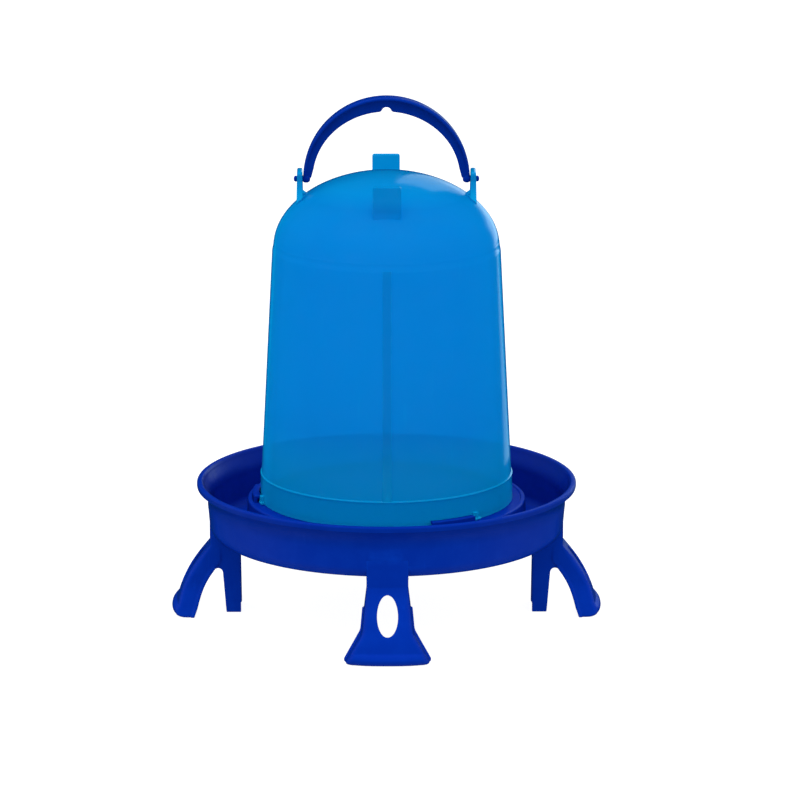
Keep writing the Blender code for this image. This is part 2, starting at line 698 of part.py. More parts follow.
def build_legs(material):
    body = loft("leg_body", [body_section(front, rear)
                             for front, rear in zip(FRONT_LINE + TOE_LINE, REAR_LINE)], parts)
    oval_outline = arc(0, OVAL_Z, OVAL_HALF, 0.0, 360.0 * 27 / 28, 27, radius_y=OVAL_H)
    oval = slab("oval", oval_outline, 0.060, Matrix.Translation((0, -0.170, 0)) @ FRONT_VIEW)
    slot_half = TONGUE_HALF + GAP
    slot = box("slot", (-slot_half, -TONGUE_R[1] - GAP, 0.0515),
               (slot_half, -TONGUE_R[0] + GAP, 0.080))
    cut(body, leg_room())
    join(body, *leg_strut())
    cut(body, tray_room(), slot, oval)

    # the finished leg becomes one mesh shared by all four places
    mesh = evaluated_mesh(body)
    mesh.name = "leg"
    mesh.materials.append(material)
    for polygon in mesh.polygons:
        polygon.material_index = 0
    smooth(mesh)
    bpy.data.objects.remove(body, do_unlink=True)
    for quarter, place_name in enumerate(("front", "right", "back", "left")):
        leg = place(f"leg_{place_name}", mesh, parts)
        leg.rotation_euler = (0.0, 0.0, quarter * math.pi / 2)


build_tray(plastic("royal_blue_tray", colour=(0.004, 0.030, 0.300), roughness=0.36))
build_drum(plastic("translucent_blue_drum", colour=(0.000, 0.200, 0.620), roughness=0.30,
                   alpha=0.82))
build_handle(plastic("navy_handle", colour=(0.004, 0.014, 0.130), roughness=0.33))
build_legs(plastic("royal_blue_leg", colour=(0.002, 0.036, 0.370), roughness=0.38))
bpy.context.view_layer.update()
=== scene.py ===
"""Looks of the poultry waterer fount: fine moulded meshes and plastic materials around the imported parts."""
import json
import math

import bmesh
import bpy
import numpy as np
from mathutils import Matrix, Vector

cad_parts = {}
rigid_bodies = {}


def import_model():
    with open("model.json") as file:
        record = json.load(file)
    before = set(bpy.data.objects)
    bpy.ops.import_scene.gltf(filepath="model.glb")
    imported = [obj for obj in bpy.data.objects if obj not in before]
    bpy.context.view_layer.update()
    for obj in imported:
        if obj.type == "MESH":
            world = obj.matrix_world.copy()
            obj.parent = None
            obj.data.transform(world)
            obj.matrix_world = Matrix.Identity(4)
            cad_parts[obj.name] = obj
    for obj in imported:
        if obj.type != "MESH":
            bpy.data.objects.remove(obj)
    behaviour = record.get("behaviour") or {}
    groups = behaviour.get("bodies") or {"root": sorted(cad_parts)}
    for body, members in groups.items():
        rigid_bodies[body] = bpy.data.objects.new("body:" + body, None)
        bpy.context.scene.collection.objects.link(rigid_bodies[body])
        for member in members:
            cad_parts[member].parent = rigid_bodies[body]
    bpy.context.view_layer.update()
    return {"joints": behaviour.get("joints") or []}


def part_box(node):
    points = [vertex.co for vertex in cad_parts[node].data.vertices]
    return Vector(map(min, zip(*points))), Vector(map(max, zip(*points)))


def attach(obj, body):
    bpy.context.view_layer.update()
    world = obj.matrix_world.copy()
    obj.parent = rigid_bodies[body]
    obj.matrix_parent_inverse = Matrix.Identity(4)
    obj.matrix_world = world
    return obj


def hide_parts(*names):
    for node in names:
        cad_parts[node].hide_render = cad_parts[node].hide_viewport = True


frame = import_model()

scene = bpy.context.scene

# ------------------------------------------------------------------ sizes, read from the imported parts
tray_lo, tray_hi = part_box("tray")
drum_lo, drum_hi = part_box("drum")
handle_lo, handle_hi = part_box("handle")
leg_lo, leg_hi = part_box("leg_front")
swing = [j for j in frame["joints"] if j["name"] == "handle_swing"][0]
PIVOT_Z = swing["pos_m"][2]

LIP_R, LIP_Z = tray_hi.x, tray_hi.z
DRUM_Z0, LUG_TOP = drum_lo.z, drum_hi.z
ARCH_R, PIN_END = handle_hi.z - PIVOT_Z, handle_hi.x
FLANGE_HALF = handle_hi.y
LEG_TOP, TOE_R = leg_hi.z, -leg_lo.y

# the mouldings' own sections, hung on those sizes
LIP_INNER_R = LIP_R - 0.0048
WALL_R_TOP, WALL_R_LOW = LIP_R - 0.0091, LIP_R - 0.0106
FLARE_Z0, FLARE_Z1 = LIP_Z - 0.0203, LIP_Z - 0.0005
TRAY_T, CORNER = 0.0025, 0.0115
TRAY_UNDER = LIP_Z - 0.0471
FLOOR_Z = TRAY_UNDER + 0.0025
STEP_R = 0.1175
PLATFORM_Z = DRUM_Z0 - 0.0003
LOCATING_R, LOCATING_Z = (0.1006, 0.1030), PLATFORM_Z + 0.0040
HOOKS_AT, HOOK_HALF = (30.0, 150.0, 270.0), 10.5
HOOK_R, HOOK_LIP_R = (0.1106, 0.1134), 0.1076
HOOK_LIP_Z = (PLATFORM_Z + 0.0035, PLATFORM_Z + 0.0059)
TAB_FROM, TAB_TO, TAB_R = 11.7, 15.7, 0.1099
TAB_Z, TAB_RIB, TAB_RIB_Z = (DRUM_Z0 + 0.0004, DRUM_Z0 + 0.0024), 2.7, DRUM_Z0 + 0.0070
DRUM_R_RIM, DRUM_R_LOW, DRUM_R_TOP, DRUM_T = 0.1067, 0.1056, 0.0956, 0.0022
BAND_Z, SHOULDER_Z = DRUM_Z0 + 0.0221, DRUM_Z0 + 0.2168
DOME_R, DOME_H = 0.0947, 0.0627
OUTLET_HALF, OUTLET_TOP = 0.006, DRUM_Z0 + 0.0091
GAUGE_W, GAUGE_PROUD, GAUGE_Z = 0.0078, 0.0007, (BAND_Z, SHOULDER_Z - 0.0014)
LUG_R, LUG_HALF = (0.0702, 0.0746), 0.0117
ARCH_IN = (ARCH_R - 0.0082, ARCH_R - 0.0129)
WEB_T, FLANGE_T, FLANGE_END_HALF, END_R = 0.0040, 0.0027, 0.0030, 0.0034
PIN_R, BORE_R, NOTCH_HALF = 0.0022, 0.0026, 0.0056
LEG_OUT_R, NECK_HALF = WALL_R_LOW + 0.0001, 0.0172
STEP_Z, STEP_HALF, STEP_OUT, SPLAY_Z, SPLAY_HALF, SPLAY = 0.0411, 0.0207, 0.0014, 0.0248, 0.0224, 0.600
FOOT_R, FOOT_Z = TOE_R - 0.0046, 0.0106
LEG_WALL, LEG_PLATE, SADDLE_T, FLOOR_T = 0.0026, 0.0030, 0.0030, 0.0026
STRUT_IN_R, POCKET_R = 0.1233, 0.1484
OVAL_Z, OVAL_H, OVAL_HALF = 0.0377, 0.0154, 0.0086
TONGUE_R, TONGUE_HALF, TONGUE_Z, BARB = (0.1300, 0.1330), 0.0080, TRAY_UNDER - 0.0088, 0.0014
GAP, SEAM = 0.0003, 0.00006  # clearance inside, and the fine joint line where a leg's collar meets the tray

work = bpy.data.collections.new("work")
show = bpy.data.collections.new("poultry_waterer_fount_visual")
scene.collection.children.link(work)
scene.collection.children.link(show)


# ------------------------------------------------------------------ mesh helpers
def add(name, bm):
    mesh = bpy.data.meshes.new(name)
    bm.to_mesh(mesh)
    bm.free()
    obj = bpy.data.objects.new(name, mesh)
    work.objects.link(obj)
    return obj


def lathe(name, outline, segs, z_turn=0.0):
    """A closed solid of revolution from a (radius, height) outline, run down the outer side and up the inner one."""
    bm = bmesh.new()
    closed = outline[0][0] > 1e-9 or outline[-1][0] > 1e-9
    cols = []
    for k in range(segs):
        t = math.tau * k / segs + z_turn
        c, s = math.cos(t), math.sin(t)
        cols.append([None if r < 1e-9 else bm.verts.new((r * c, r * s, z)) for r, z in outline])
    poles = {i: bm.verts.new((0, 0, z)) for i, (r, z) in enumerate(outline) if r < 1e-9}
    pairs = [(i, i + 1) for i in range(len(outline) - 1)] + ([(len(outline) - 1, 0)] if closed else [])
    for k in range(segs):
        a, b = cols[k], cols[(k + 1) % segs]
        for i, j in pairs:
            ring = [a[i] or poles[i], a[j] or poles[j], b[j] or poles[j], b[i] or poles[i]]
            face = [v for n, v in enumerate(ring) if v is not ring[n - 1]]
            if len(face) > 2:
                bm.faces.new(face)
    bmesh.ops.recalc_face_normals(bm, faces=bm.faces)
    return add(name, bm)


def loft(name, sections):
    bm = bmesh.new()
    rings = [[bm.verts.new(p) for p in section] for section in sections]
    for a, b in zip(rings, rings[1:]):
        for i in range(len(a)):
            j = (i + 1) % len(a)
            bm.faces.new((a[i], a[j], b[j], b[i]))
    bm.faces.new(rings[0][::-1])
    bm.faces.new(rings[-1])
    bmesh.ops.recalc_face_normals(bm, faces=bm.faces)
    return add(name, bm)


def prism(name, outline, low, high, matrix=None):
    """A flat outline in XY, raised from low to high, then placed."""
    bm = bmesh.new()
    a = [bm.verts.new((x, y, low)) for x, y in outline]
    b = [bm.verts.new((x, y, high)) for x, y in outline]
    n = len(outline)
    for i in range(n):
        j = (i + 1) % n
        bm.faces.new((a[i], a[j], b[j], b[i]))
    bm.faces.new(a[::-1])
    bm.faces.new(b)
    if matrix is not None:
        bmesh.ops.transform(bm, matrix=matrix, verts=bm.verts)
    bmesh.ops.recalc_face_normals(bm, faces=bm.faces)
    return add(name, bm)


def block(name, lo, hi):
    bm = bmesh.new()
    bmesh.ops.create_cube(bm, size=1.0)
    size, middle = Vector(hi) - Vector(lo), (Vector(hi) + Vector(lo)) / 2
    bmesh.ops.transform(bm, matrix=Matrix.Translation(middle) @ Matrix.Diagonal((*size, 1.0)), verts=bm.verts)
    return add(name, bm)


def rod(name, stops, z, sides=40):
    """A round bar along X through (x, radius) stops."""
    return loft(name, [[Vector((x, r * math.cos(math.tau * k / sides), z + r * math.sin(math.tau * k / sides)))
                        for k in range(sides)] for x, r in stops])


def bake(obj):
    """Applies the modifiers, so the object holds its final mesh."""
    bpy.context.view_layer.update()
    graph = bpy.context.evaluated_depsgraph_get()
    mesh = bpy.data.meshes.new_from_object(obj.evaluated_get(graph), depsgraph=graph)
    obj.modifiers.clear()
    obj.data = mesh
    return obj


def rounded(obj, width, segments=3, angle=40.0):
    m = obj.modifiers.new("edges", "BEVEL")
    m.width, m.segments, m.limit_method, m.angle_limit = width, segments, "ANGLE", math.radians(angle)
    return bake(obj)


def mix(obj, others, operation):
    for other in others:
        m = obj.modifiers.new("mix", "BOOLEAN")
        m.operation, m.solver, m.object = operation, "EXACT", other
    bake(obj)
    for other in others:
        bpy.data.objects.remove(other, do_unlink=True)
    return obj


def union(obj, *others):
    return mix(obj, others, "UNION")


def cut(obj, *others):
    return mix(obj, others, "DIFFERENCE")


def soften(obj, voxel, turns, factor=0.5):
    """Turns joined solids into one moulding with small fillets and rounded edges."""
    m = obj.modifiers.new("mould", "REMESH")
    m.mode, m.voxel_size, m.use_smooth_shade = "VOXEL", voxel, True
    bake(obj)
    m = obj.modifiers.new("polish", "SMOOTH")
    m.factor, m.iterations = factor, turns
    return bake(obj)


def bezier(p0, p1, p2, n):
    out = []
    for k in range(n + 1):
        u = k / n
        a, b, c = (1 - u) ** 2, 2 * u * (1 - u), u * u
        out.append((a * p0[0] + b * p1[0] + c * p2[0], a * p0[1] + b * p1[1] + c * p2[1]))
    return out


def arc(cx, cy, r, start, end, n, ry=None):
    out = []
    for k in range(n + 1):
        t = math.radians(start + (end - start) * k / n)
        out.append((cx + r * math.cos(t), cy + (r if ry is None else ry) * math.sin(t)))
    return out


def sector(name, a0, a1, outline, steps=24):
    """A (radius, height) section swept round from a0 to a1, degrees round from the front towards +X."""
    sections = []
    for k in range(steps + 1):
        t = math.radians(a0 + (a1 - a0) * k / steps - 90.0)
        sections.append([Vector((r * math.cos(t), r * math.sin(t), z)) for r, z in outline])
    return loft(name, sections)


def fine_curve(points, n):
    """Points along a smooth line through the given ones, twelve to each span; n is not used."""
    pts = [Vector((*p, 0.0)) for p in points]
    dense = []
    for i in range(len(pts) - 1):
        p0, p1, p2, p3 = pts[max(i - 1, 0)], pts[i], pts[i + 1], pts[min(i + 2, len(pts) - 1)]
        for k in range(12):
            u = k / 12
            dense.append(0.5 * ((2 * p1) + (p2 - p0) * u + (2 * p0 - 5 * p1 + 4 * p2 - p3) * u * u
                                + (3 * p1 - p0 - 3 * p2 + p3) * u ** 3))
    dense.append(pts[-1])
    return dense


upright = Matrix(((1, 0, 0, 0), (0, 0, -1, 0), (0, 1, 0, 0), (0, 0, 0, 1)))
side_view = Matrix(((0, 0, 1, 0), (-1, 0, 0, 0), (0, 1, 0, 0), (0, 0, 0, 1)))


def quarter(k):
    return Matrix.Rotation(math.pi / 2 * k, 4, "Z")


def moulded(obj, name, body, nodes, material, angle=38.0):
    """Finishes a piece: name, smooth shading, material, body and slot."""
    obj.name = name
    obj.data.name = name
    work.objects.unlink(obj)
    show.objects.link(obj)
    mesh = obj.data
    mesh.materials.clear()
    mesh.materials.append(material)
    mesh.polygons.foreach_set("material_index", [0] * len(mesh.polygons))
    mesh.shade_smooth()
    if angle:
        mesh.set_sharp_from_angle(angle=math.radians(angle))
    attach(obj, body)
    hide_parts(*nodes)
    return obj


# ------------------------------------------------------------------ materials
def nodes_of(mat):
    tree = mat.node_tree
    return tree.nodes, tree.links


def value_mix(tree, a, b, factor, kind="MIX"):
    n = tree.nodes.new("ShaderNodeMix")
    n.data_type = "RGBA"
    n.blend_type = kind
    for socket, v in ((n.inputs[6], a), (n.inputs[7], b), (n.inputs[0], factor)):
        if hasattr(v, "links"):
            tree.links.new(v, socket)
        elif isinstance(v, (int, float)):
            socket.default_value = v
        else:
            socket.default_value = (*v, 1.0)
    return n.outputs[2]


def ramp(tree, source, stops):
    n = tree.nodes.new("ShaderNodeMapRange")
    n.clamp = True
    n.inputs["From Min"].default_value, n.inputs["From Max"].default_value = stops[0]
    n.inputs["To Min"].default_value, n.inputs["To Max"].default_value = stops[1]
    tree.links.new(source, n.inputs["Value"])
    return n.outputs["Result"]


def noise(tree, vector, scale, detail=3.0, rough=0.55, stretch=None):
    if stretch:
        m = tree.nodes.new("ShaderNodeMapping")
        m.inputs["Scale"].default_value = stretch
        tree.links.new(vector, m.inputs["Vector"])
        vector = m.outputs["Vector"]
    n = tree.nodes.new("ShaderNodeTexNoise")
    n.inputs["Scale"].default_value = scale
    n.inputs["Detail"].default_value = detail
    n.inputs["Roughness"].default_value = rough
    tree.links.new(vector, n.inputs["Vector"])
    return n.outputs["Fac"]


def math_node(tree, op, a, b=None):
    n = tree.nodes.new("ShaderNodeMath")
    n.operation = op
    for i, v in enumerate((a, b)):
        if v is None:
            continue
        if hasattr(v, "links"):
            tree.links.new(v, n.inputs[i])
        else:
            n.inputs[i].default_value = v
    return n.outputs[0]


def surface_detail(tree, grain, wear):
    """Shared moulded-plastic detail: (vector, large variation, roughness offset, normal, worn edges)."""
    coord = tree.nodes.new("ShaderNodeTexCoord").outputs["Object"]
    cloud = noise(tree, coord, 9.0, 3.0, 0.5)
    mottle = noise(tree, coord, 70.0, 4.0, 0.6)
    grainy = noise(tree, coord, 1500.0, 2.0, 0.6)
    waves = noise(tree, coord, 24.0, 2.0, 0.4)
    scratch = noise(tree, coord, 210.0, 2.0, 0.5, stretch=(1.0, 1.0, 0.06))
    scuffs = ramp(tree, scratch, ((0.66, 0.74), (0.0, 1.0)))
    height = math_node(tree, "ADD", math_node(tree, "MULTIPLY", grainy, 0.35), math_node(tree, "MULTIPLY", mottle, 0.25))
    bump = tree.nodes.new("ShaderNodeBump")
    bump.inputs["Strength"].default_value = grain
    bump.inputs["Distance"].default_value = 0.0003
    tree.links.new(height, bump.inputs["Height"])
    soft = tree.nodes.new("ShaderNodeBump")
    soft.inputs["Strength"].default_value = 0.10
    soft.inputs["Distance"].default_value = 0.002
    tree.links.new(waves, soft.inputs["Height"])
    tree.links.new(bump.outputs["Normal"], soft.inputs["Normal"])
    geo = tree.nodes.new("ShaderNodeNewGeometry")
    edge = ramp(tree, geo.outputs["Pointiness"], ((0.515, 0.60), (0.0, wear)))
    edge = math_node(tree, "MULTIPLY", edge, ramp(tree, mottle, ((0.35, 0.62), (0.25, 1.0))))
    return coord, cloud, mottle, scuffs, soft.outputs["Normal"], edge


def opaque_plastic(name, colour, deep, light, rough, specular=0.24, grain=0.22, wear=0.5, shade=None):
    mat = bpy.data.materials.new(name)
    mat.use_nodes = True
    tree = mat.node_tree
    bsdf = tree.nodes["Principled BSDF"]
    coord, cloud, mottle, scuffs, normal, edge = surface_detail(tree, grain, wear)
    base = value_mix(tree, deep, colour, ramp(tree, cloud, ((0.30, 0.70), (0.25, 1.0))))
    base = value_mix(tree, base, light, math_node(tree, "MULTIPLY", ramp(tree, mottle, ((0.45, 0.75), (0.0, 1.0))), 0.10))
    base = value_mix(tree, base, light, edge)
    base = value_mix(tree, base, light, math_node(tree, "MULTIPLY", scuffs, 0.10))
    weight = tree.nodes.new("ShaderNodeLayerWeight")
    weight.inputs["Blend"].default_value = 0.5
    # painted shade: where the surface turns away from the view the colour darkens toward the deep blue, drawing a dark
    # outline
    base = value_mix(tree, base, tuple(0.35 * c for c in deep), ramp(tree, weight.outputs["Facing"], ((0.72, 0.97), (0.0, 0.75))))
    if shade:  # less light reaches the wall close under the lip
        height = tree.nodes.new("ShaderNodeSeparateXYZ")
        tree.links.new(coord, height.inputs[0])
        base = value_mix(tree, base, tuple(0.5 * c for c in deep), ramp(tree, height.outputs["Z"], shade))
    tree.links.new(base, bsdf.inputs["Base Color"])
    r = math_node(tree, "ADD", ramp(tree, mottle, ((0.3, 0.7), (rough - 0.05, rough + 0.06))),
                  math_node(tree, "MULTIPLY", scuffs, 0.12))
    r = math_node(tree, "SUBTRACT", r, math_node(tree, "MULTIPLY", edge, 0.10))
    tree.links.new(r, bsdf.inputs["Roughness"])
    tree.links.new(normal, bsdf.inputs["Normal"])
    tree.links.new(ramp(tree, weight.outputs["Facing"], ((0.40, 0.74), (specular, 0.015))), bsdf.inputs["Specular IOR Level"])
    bsdf.inputs["Specular Tint"].default_value = (0.04, 0.34, 1.0, 1.0)
    mat.diffuse_color = (*colour, 1.0)
    return mat


def clear_plastic(name, colour, deep, light, rim, tint, clearness):
    """A milky see-through wall: part of the light passes with a tint, the rest is scattered. Each wall counts once, on
    the face turned to the viewer."""
    mat = bpy.data.materials.new(name)
    mat.use_nodes = True
    tree = mat.node_tree
    bsdf = tree.nodes["Principled BSDF"]
    out = tree.nodes["Material Output"]
    coord, cloud, mottle, scuffs, normal, edge = surface_detail(tree, 0.05, 0.8)
    geo = tree.nodes.new("ShaderNodeNewGeometry")
    weight = tree.nodes.new("ShaderNodeLayerWeight")
    weight.inputs["Blend"].default_value = 0.5
    base = value_mix(tree, deep, colour, ramp(tree, cloud, ((0.30, 0.70), (0.1, 1.0))))
    base = value_mix(tree, base, light, math_node(tree, "MULTIPLY", edge, 0.45))
    base = value_mix(tree, base, light, math_node(tree, "MULTIPLY", scuffs, 0.06))
    # the gauge strip is thicker, so it looks a little deeper
    where = tree.nodes.new("ShaderNodeSeparateXYZ")
    tree.links.new(coord, where.inputs[0])
    strip = ramp(tree, math_node(tree, "ABSOLUTE", where.outputs["X"]), ((GAUGE_W / 2 - 0.0006, GAUGE_W / 2), (1.0, 0.0)))
    strip = math_node(tree, "MULTIPLY", strip, ramp(tree, where.outputs["Y"], ((-0.085, -0.080), (1.0, 0.0))))
    strip = math_node(tree, "MULTIPLY", strip, ramp(tree, where.outputs["Z"], ((GAUGE_Z[1] - 0.0008, GAUGE_Z[1]), (1.0, 0.0))))
    strip = math_node(tree, "MULTIPLY", strip, ramp(tree, where.outputs["Z"], ((GAUGE_Z[0], GAUGE_Z[0] + 0.001), (0.0, 1.0))))
    base = value_mix(tree, base, rim, math_node(tree, "MULTIPLY", strip, 0.30))
    # seen edge on, a wall is long and looks deep
    base = value_mix(tree, base, light, ramp(tree, weight.outputs["Facing"], ((0.25, 0.75), (0.0, 0.20))))
    # painted shade: the crown is made darker toward its top
    crown_painted_shade = ramp(tree, where.outputs["Z"], ((SHOULDER_Z + 0.10 * DOME_H, SHOULDER_Z + 0.95 * DOME_H), (0.0, 0.30)))
    base = value_mix(tree, base, (0.0, 0.02, 0.08), crown_painted_shade)
    # painted shade: a dark outline where the wall turns away from the view at the silhouette
    base = value_mix(tree, base, rim, ramp(tree, weight.outputs["Facing"], ((0.83, 0.95), (0.0, 0.85))))
    # painted light: toward its open end the wall is made lighter and a little less clear
    low_painted_light = ramp(tree, where.outputs["Z"], ((DRUM_Z0, DRUM_Z0 + 0.075), (1.0, 0.0)))
    base = value_mix(tree, base, light, math_node(tree, "MULTIPLY", low_painted_light, 0.62))
    # painted highlight: a light cyan glint line along the very bottom edge of the rim
    base = value_mix(tree, base, (0.01, 0.62, 0.96), ramp(tree, where.outputs["Z"], ((DRUM_Z0 + 0.0018, DRUM_Z0 + 0.0026), (0.55, 0.0))))
    tree.links.new(base, bsdf.inputs["Base Color"])
    tree.links.new(ramp(tree, mottle, ((0.3, 0.7), (0.10, 0.17))), bsdf.inputs["Roughness"])
    tree.links.new(normal, bsdf.inputs["Normal"])
    tree.links.new(ramp(tree, weight.outputs["Facing"], ((0.90, 0.975), (0.5, 0.02))), bsdf.inputs["Specular IOR Level"])
    through = tree.nodes.new("ShaderNodeBsdfTranslucent")
    tree.links.new(base, through.inputs["Color"])
    tree.links.new(normal, through.inputs["Normal"])
    milky = tree.nodes.new("ShaderNodeMixShader")
    milky.inputs[0].default_value = 0.30
    tree.links.new(bsdf.outputs[0], milky.inputs[1])
    tree.links.new(through.outputs[0], milky.inputs[2])
    clear = tree.nodes.new("ShaderNodeBsdfTransparent")
    clear.inputs["Color"].default_value = (*tint, 1.0)
    dense = ramp(tree, weight.outputs["Facing"], ((0.60, 0.88), (clearness, 0.03)))
    # painted light: the wall is less clear toward its open end, along with its lighter colour there
    dense = math_node(tree, "MULTIPLY", dense, math_node(tree, "SUBTRACT", 1.0, math_node(tree, "MULTIPLY", low_painted_light, 0.30)))
    dense = math_node(tree, "MULTIPLY", dense, ramp(tree, cloud, ((0.3, 0.7), (0.94, 1.04))))
    dense = math_node(tree, "MULTIPLY", dense, math_node(tree, "SUBTRACT", 1.0, math_node(tree, "MULTIPLY", edge, 0.35)))
    dense = math_node(tree, "MULTIPLY", dense, math_node(tree, "SUBTRACT", 1.0, math_node(tree, "MULTIPLY", strip, 0.3)))
    # the lugs are solid plastic
    dense = math_node(tree, "MULTIPLY", dense, ramp(tree, where.outputs["Z"], ((PIVOT_Z - 0.014, PIVOT_Z - 0.004), (1.0, 0.25))))
    wall = tree.nodes.new("ShaderNodeMixShader")
    tree.links.new(dense, wall.inputs[0])
    tree.links.new(milky.outputs[0], wall.inputs[1])
    tree.links.new(clear.outputs[0], wall.inputs[2])
    far = tree.nodes.new("ShaderNodeBsdfTransparent")
    once = tree.nodes.new("ShaderNodeMixShader")
    tree.links.new(geo.outputs["Backfacing"], once.inputs[0])
    tree.links.new(wall.outputs[0], once.inputs[1])
    tree.links.new(far.outputs[0], once.inputs[2])
    tree.links.new(once.outputs[0], out.inputs["Surface"])
    mat.diffuse_color = (*colour, 0.8)
    return mat


BLUE, BLUE_DEEP, BLUE_LIGHT = (0.0002, 0.0240, 0.350), (0.0002, 0.0205, 0.310), (0.0008, 0.060, 0.60)
tray_plastic = opaque_plastic("royal_blue_tray", BLUE, BLUE_DEEP, BLUE_LIGHT, 0.36,
                              shade=((FLARE_Z0 - 0.002, LIP_Z - 0.006), (0.0, 0.42)))
leg_plastic = opaque_plastic("royal_blue_leg", BLUE, BLUE_DEEP, BLUE_LIGHT, 0.38)
handle_plastic = opaque_plastic("navy_handle", (0.0002, 0.0205, 0.262), (0.0002, 0.0165, 0.215), (0.0008, 0.055, 0.50), 0.34)
drum_plastic = clear_plastic("translucent_blue_drum", (0.0002, 0.325, 0.785), (0.0002, 0.300, 0.745), (0.0008, 0.56, 0.88),
                             (0.001, 0.090, 0.250), (0.001, 0.42, 0.82), 0.36)

# ------------------------------------------------------------------ tray
SEGS = 240


def flare(z, r_low, r_high, z0, z1):
    u = min(max((z - z0) / (z1 - z0), 0.0), 1.0) ** 1.5
    return r_low + (r_high - r_low) * u * u * (3.0 - 2.0 * u)


outline = [(0.0, PLATFORM_Z), (LOCATING_R[0] - 0.0006, PLATFORM_Z), (LOCATING_R[0], PLATFORM_Z + 0.0006)]
outline += arc(LOCATING_R[0] + 0.0006, LOCATING_Z - 0.0006, 0.0006, 180.0, 90.0, 3)
outline += arc(LOCATING_R[1] - 0.0006, LOCATING_Z - 0.0006, 0.0006, 90.0, 0.0, 3)
outline += [(LOCATING_R[1], PLATFORM_Z + 0.0006), (LOCATING_R[1] + 0.0006, PLATFORM_Z)]
outline += [(STEP_R - 0.0042, PLATFORM_Z), (STEP_R - 0.0036, PLATFORM_Z + 0.0007)]
outline += arc(STEP_R - 0.0016, PLATFORM_Z - 0.0009, 0.0016, 90.0, 0.0, 6)
outline += arc(STEP_R + 0.0012 + 0.004, FLOOR_Z + 0.004, 0.004, 180.0, 270.0, 8)
inner_corner = CORNER - TRAY_T
outline += arc(WALL_R_LOW - CORNER, TRAY_UNDER + CORNER, inner_corner, -90.0, 0.0, 12)
for step in range(1, 25):
    height = FLARE_Z0 + (LIP_Z - 0.0016 - FLARE_Z0) * step / 24
    outline.append((flare(height, WALL_R_TOP - TRAY_T, LIP_INNER_R - 0.0005, FLARE_Z0 + 0.0012, LIP_Z), height))
outline += arc(LIP_INNER_R + 0.0012, LIP_Z - 0.0013, 0.0014, 165.0, 90.0, 5, ry=0.0013)
outline += arc(LIP_R - 0.0020, LIP_Z - 0.0020, 0.0020, 90.0, 0.0, 8)
low = LIP_Z - 0.0046
outline += [(LIP_R, LIP_Z - 0.0034), (LIP_R - 0.0002, low)]
for step in range(1, 25):
    height = low + (FLARE_Z0 - low) * step / 24
    outline.append((min(flare(height, WALL_R_TOP, LIP_R, FLARE_Z0, FLARE_Z1), LIP_R - 0.0002), height))
outline += arc(WALL_R_LOW - CORNER, TRAY_UNDER + CORNER, CORNER, 0.0, -90.0, 14)
outline += arc(STEP_R - 0.0012 + 0.0025, TRAY_UNDER + 0.0010, 0.0010, 270.0, 180.0, 3)
outline += [(STEP_R - TRAY_T, PLATFORM_Z - TRAY_T), (0.0, PLATFORM_Z - TRAY_T)]
tray = lathe("tray_shell", outline, SEGS)

adds = []
hook = [(HOOK_LIP_R, HOOK_LIP_Z[0]), (HOOK_R[0], HOOK_LIP_Z[0]), (HOOK_R[0], PLATFORM_Z - 0.001), (HOOK_R[1], PLATFORM_Z - 0.001)]
hook += arc(HOOK_R[1] - 0.0010, HOOK_LIP_Z[1] - 0.0010, 0.0010, 0.0, 90.0, 4)
hook += arc(HOOK_LIP_R + 0.0005, HOOK_LIP_Z[1] - 0.0005, 0.0005, 90.0, 180.0, 2)
for n, a in enumerate(HOOKS_AT):
    adds.append(rounded(sector(f"hook_{n}", a - HOOK_HALF, a + HOOK_HALF, hook), 0.0006, 3, 60.0))
    stop = [(HOOK_LIP_R + 0.0002, HOOK_LIP_Z[1] - 0.0008), (HOOK_R[1] - 0.0009, HOOK_LIP_Z[1] - 0.0008),
            (HOOK_R[1] - 0.0009, PLATFORM_Z - 0.0008), (HOOK_LIP_R + 0.0002, PLATFORM_Z - 0.0008)]
    adds.append(sector(f"stop_{n}", a - HOOK_HALF + 0.35, a - HOOK_HALF + 1.7, stop, 3))
tongue = [(TONGUE_R[0], FLOOR_Z - 0.001), (TONGUE_R[1], FLOOR_Z - 0.001), (TONGUE_R[1], TRAY_UNDER - 0.0038),
          (TONGUE_R[1] + BARB, TRAY_UNDER - 0.0042), (TONGUE_R[1] + BARB, TRAY_UNDER - 0.0052),
          (TONGUE_R[1] - 0.0006, TONGUE_Z), (TONGUE_R[0] + 0.0006, TONGUE_Z)]
for k in range(4):
    adds.append(prism(f"tongue_{k}", tongue, -TONGUE_HALF, TONGUE_HALF, quarter(k) @ side_view))
union(tray, *adds)

# collar pockets: the cut leaves the collar a fine joint line
pockets = []
half = NECK_HALF + SEAM
for k in range(4):
    ring = []
    for a, b in ((POCKET_R, 1), (0.158, -1)):
        for i in range(13):
            t = b * half * (i / 6 - 1)
            ring.append((t, -math.sqrt(a * a - t * t)))
    pockets.append(prism(f"pocket_{k}", ring, 0.052, LEG_TOP + SEAM, quarter(k)))
cut(tray, *pockets)
moulded(tray, "tray_moulding", "base", ["tray"], tray_plastic)


# ------------------------------------------------------------------ drum
def cone_r(z):
    return DRUM_R_LOW + (DRUM_R_TOP - DRUM_R_LOW) * (z - BAND_Z) / (SHOULDER_Z - BAND_Z)


def dome(radius, height, base, n, flat=1.975):
    out = []
    for k in range(n + 1):
        t = math.radians(90.0 * k / n)
        out.append((radius * math.cos(t) ** (2.0 / flat), base + height * math.sin(t) ** (2.0 / flat)))
    out[-1] = (0.0, base + height)
    return out


